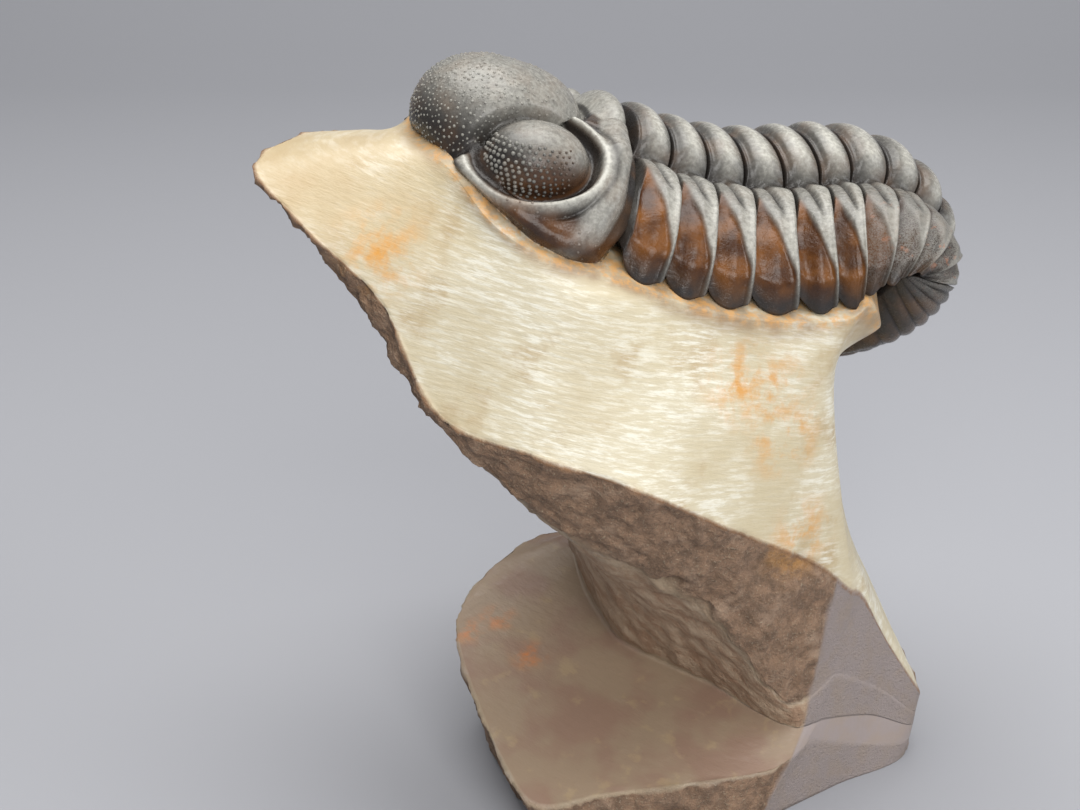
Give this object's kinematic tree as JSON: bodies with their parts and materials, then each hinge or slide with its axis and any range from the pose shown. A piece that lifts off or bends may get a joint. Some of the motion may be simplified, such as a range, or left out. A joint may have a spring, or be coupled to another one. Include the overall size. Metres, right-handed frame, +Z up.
{
  "type": "trilobite fossil on matrix",
  "caption": "Big-eyed trilobite with a curled tail, resting on a carved pale limestone block that is undercut and stands on a flat base.",
  "frame": {"origin": "middle of the block's flat underside", "axes": "+Z up, the animal's left side towards -Y, its head towards -X and turned 20 degrees towards -Y"},
  "size_m": [0.0562, 0.0438, 0.0627],
  "materials": {
    "limestone": "pale cream limestone, finely ground above, rough brown where broken",
    "exoskeleton": "dark glossy calcite, amber brown where thin"
  },
  "bodies": {
    "root": {"matrix": "limestone", "cephalon": "exoskeleton", "thorax_segment_01": "exoskeleton", "thorax_segment_02": "exoskeleton", "thorax_segment_03": "exoskeleton", "thorax_segment_04": "exoskeleton", "thorax_segment_05": "exoskeleton", "thorax_segment_06": "exoskeleton", "thorax_segment_07": "exoskeleton", "thorax_segment_08": "exoskeleton", "thorax_segment_09": "exoskeleton", "thorax_segment_10": "exoskeleton", "thorax_segment_11": "exoskeleton", "pygidium": "exoskeleton"}
  },
  "joints": []
}
